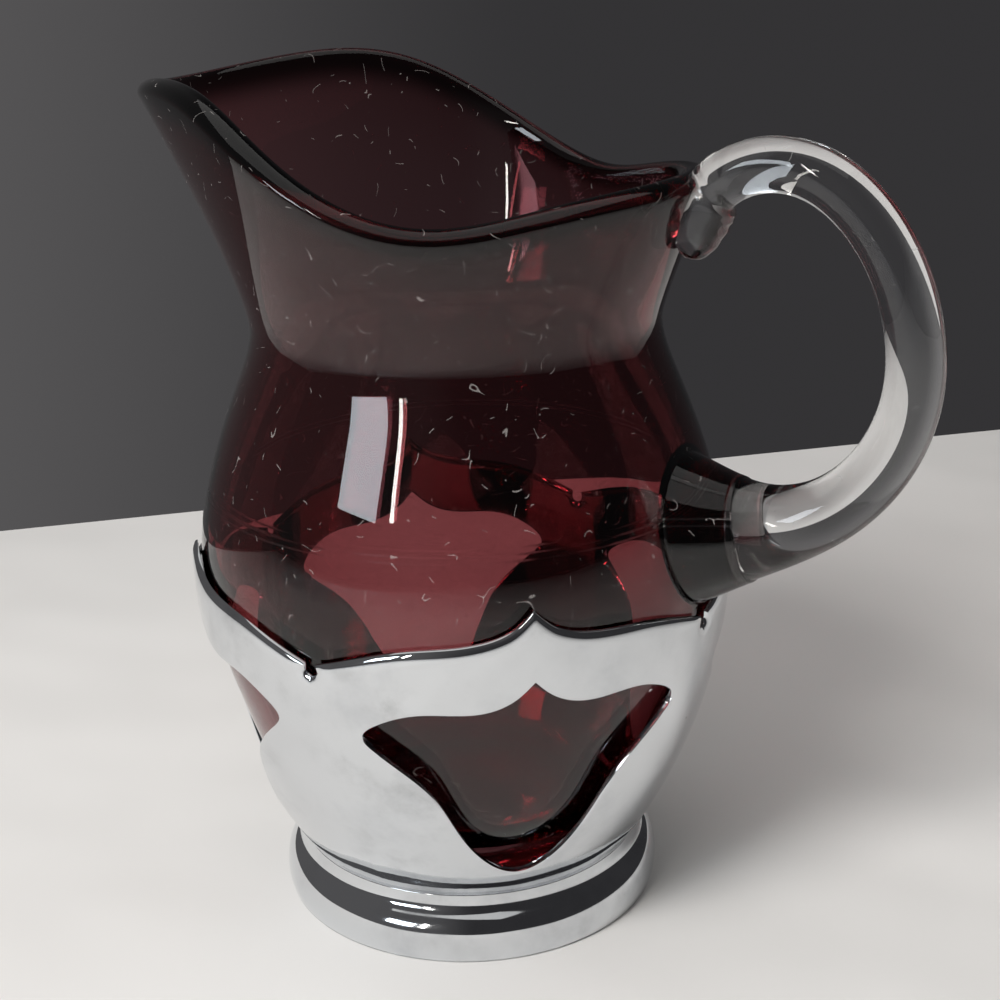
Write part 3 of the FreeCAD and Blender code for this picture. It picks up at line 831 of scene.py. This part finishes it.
def floor_finish():
    """Plain pale cloth with slow creases."""
    material, place, output = new_finish("floor")
    cloth = place.node("BsdfPrincipled", {
        "Base Color": place.noise(8.0).blend(CLOTH, PALE_CLOTH), "Roughness": 0.95,
        "Normal": place.noise(14.0).relief(CREASE_DEPTH, strength=0.4)})
    connect(output, Surface=cloth)
    return material


bm = bmesh.new()
bmesh.ops.create_grid(bm, x_segments=1, y_segments=1, size=0.5)
bmesh.ops.scale(bm, vec=Vector((FLOOR_WIDE, FLOOR_DEEP, 1.0)), verts=bm.verts)
bmesh.ops.translate(bm, vec=Vector((0.0, FLOOR_BACK - FLOOR_DEEP / 2, 0.0)), verts=bm.verts)
bmesh.ops.rotate(bm, cent=(0, 0, 0), matrix=Matrix.Rotation(FLOOR_TURN, 3, "Z"), verts=bm.verts)
mesh = bpy.data.meshes.new("floor")
bm.to_mesh(mesh)
bm.free()
floor = bpy.data.objects.new("floor", mesh)
bpy.context.scene.collection.objects.link(floor)
mesh.materials.append(floor_finish())
print("Floor", FLOOR_WIDE, "by", FLOOR_DEEP, "m")

# %% Lamps
LAMP_AIM = Vector((0.0, 0.0, 55.0)) * MM
NEUTRAL, WARM = (1.0, 0.99, 0.97), (1.0, 0.97, 0.93)
DAYLIGHT, BULB = (0.86, 0.93, 1.0), (1.0, 0.97, 0.92)


def soft_lamp(name, azimuth, elevation, distance, size, power, colour, spread=180.0,
              in_mirrors=True):
    """Area lamp that looks at the object; azimuth 0 is in front, 90 on the handle's side."""
    lamp = bpy.data.objects.new(name, bpy.data.lights.new(name, "AREA"))
    lamp.data.shape = "RECTANGLE"
    lamp.data.size, lamp.data.size_y = size
    lamp.data.energy = power
    lamp.data.color = colour
    lamp.data.spread = math.radians(spread)
    turn, tilt = math.radians(azimuth), math.radians(elevation)
    level = math.cos(tilt)
    towards = Vector((math.sin(turn) * level, -math.cos(turn) * level, math.sin(tilt)))
    lamp.location = LAMP_AIM + towards * distance
    lamp.rotation_euler = towards.to_track_quat("Z", "Y").to_euler()
    lamp.visible_glossy = in_mirrors
    bpy.context.scene.collection.objects.link(lamp)
    print(f"Lamp {name}: {power} W from {distance} m")


soft_lamp("ceiling", azimuth=0.0, elevation=90.0, distance=1.2, size=(2.4, 2.4), power=5.6,
          colour=NEUTRAL, in_mirrors=False)
soft_lamp("top", azimuth=0.0, elevation=90.0, distance=1.15, size=(1.3, 1.3), power=3.0,
          colour=NEUTRAL)
soft_lamp("side", azimuth=-12.0, elevation=46.0, distance=0.6, size=(0.22, 0.22), power=0.9,
          colour=WARM, spread=100.0, in_mirrors=False)
soft_lamp("window", azimuth=-19.0, elevation=21.0, distance=0.9, size=(0.28, 0.22), power=1.7,
          colour=DAYLIGHT)
soft_lamp("strip", azimuth=-3.0, elevation=23.0, distance=0.9, size=(0.025, 0.26), power=0.5,
          colour=BULB)

# %% The room behind
ROOM_LEFT, ROOM_RIGHT = (0.10, 0.097, 0.099, 1.0), (0.034, 0.033, 0.035, 1.0)
ROOM_FADE = (-0.38, 0.04)
BOUNCES = 24

world = bpy.data.worlds.new("room")
world.use_nodes = True
sky = Wire(world.node_tree)
direction = sky.node("TexCoord", {}, output="Generated")
across = sky.node("VectorMath", {0: direction, 1: tuple(right)}, output="Value",
                  operation="DOT_PRODUCT")
room = across.ease(*ROOM_FADE).blend(ROOM_LEFT, ROOM_RIGHT)
connect(world.node_tree.nodes["Background"], Color=room)
bpy.context.scene.world = world
bpy.context.scene.view_settings.view_transform = "Standard"
bpy.context.scene.cycles.max_bounces = BOUNCES
bpy.context.scene.cycles.transmission_bounces = BOUNCES
print("The room fades from", ROOM_LEFT[:3], "to", ROOM_RIGHT[:3])
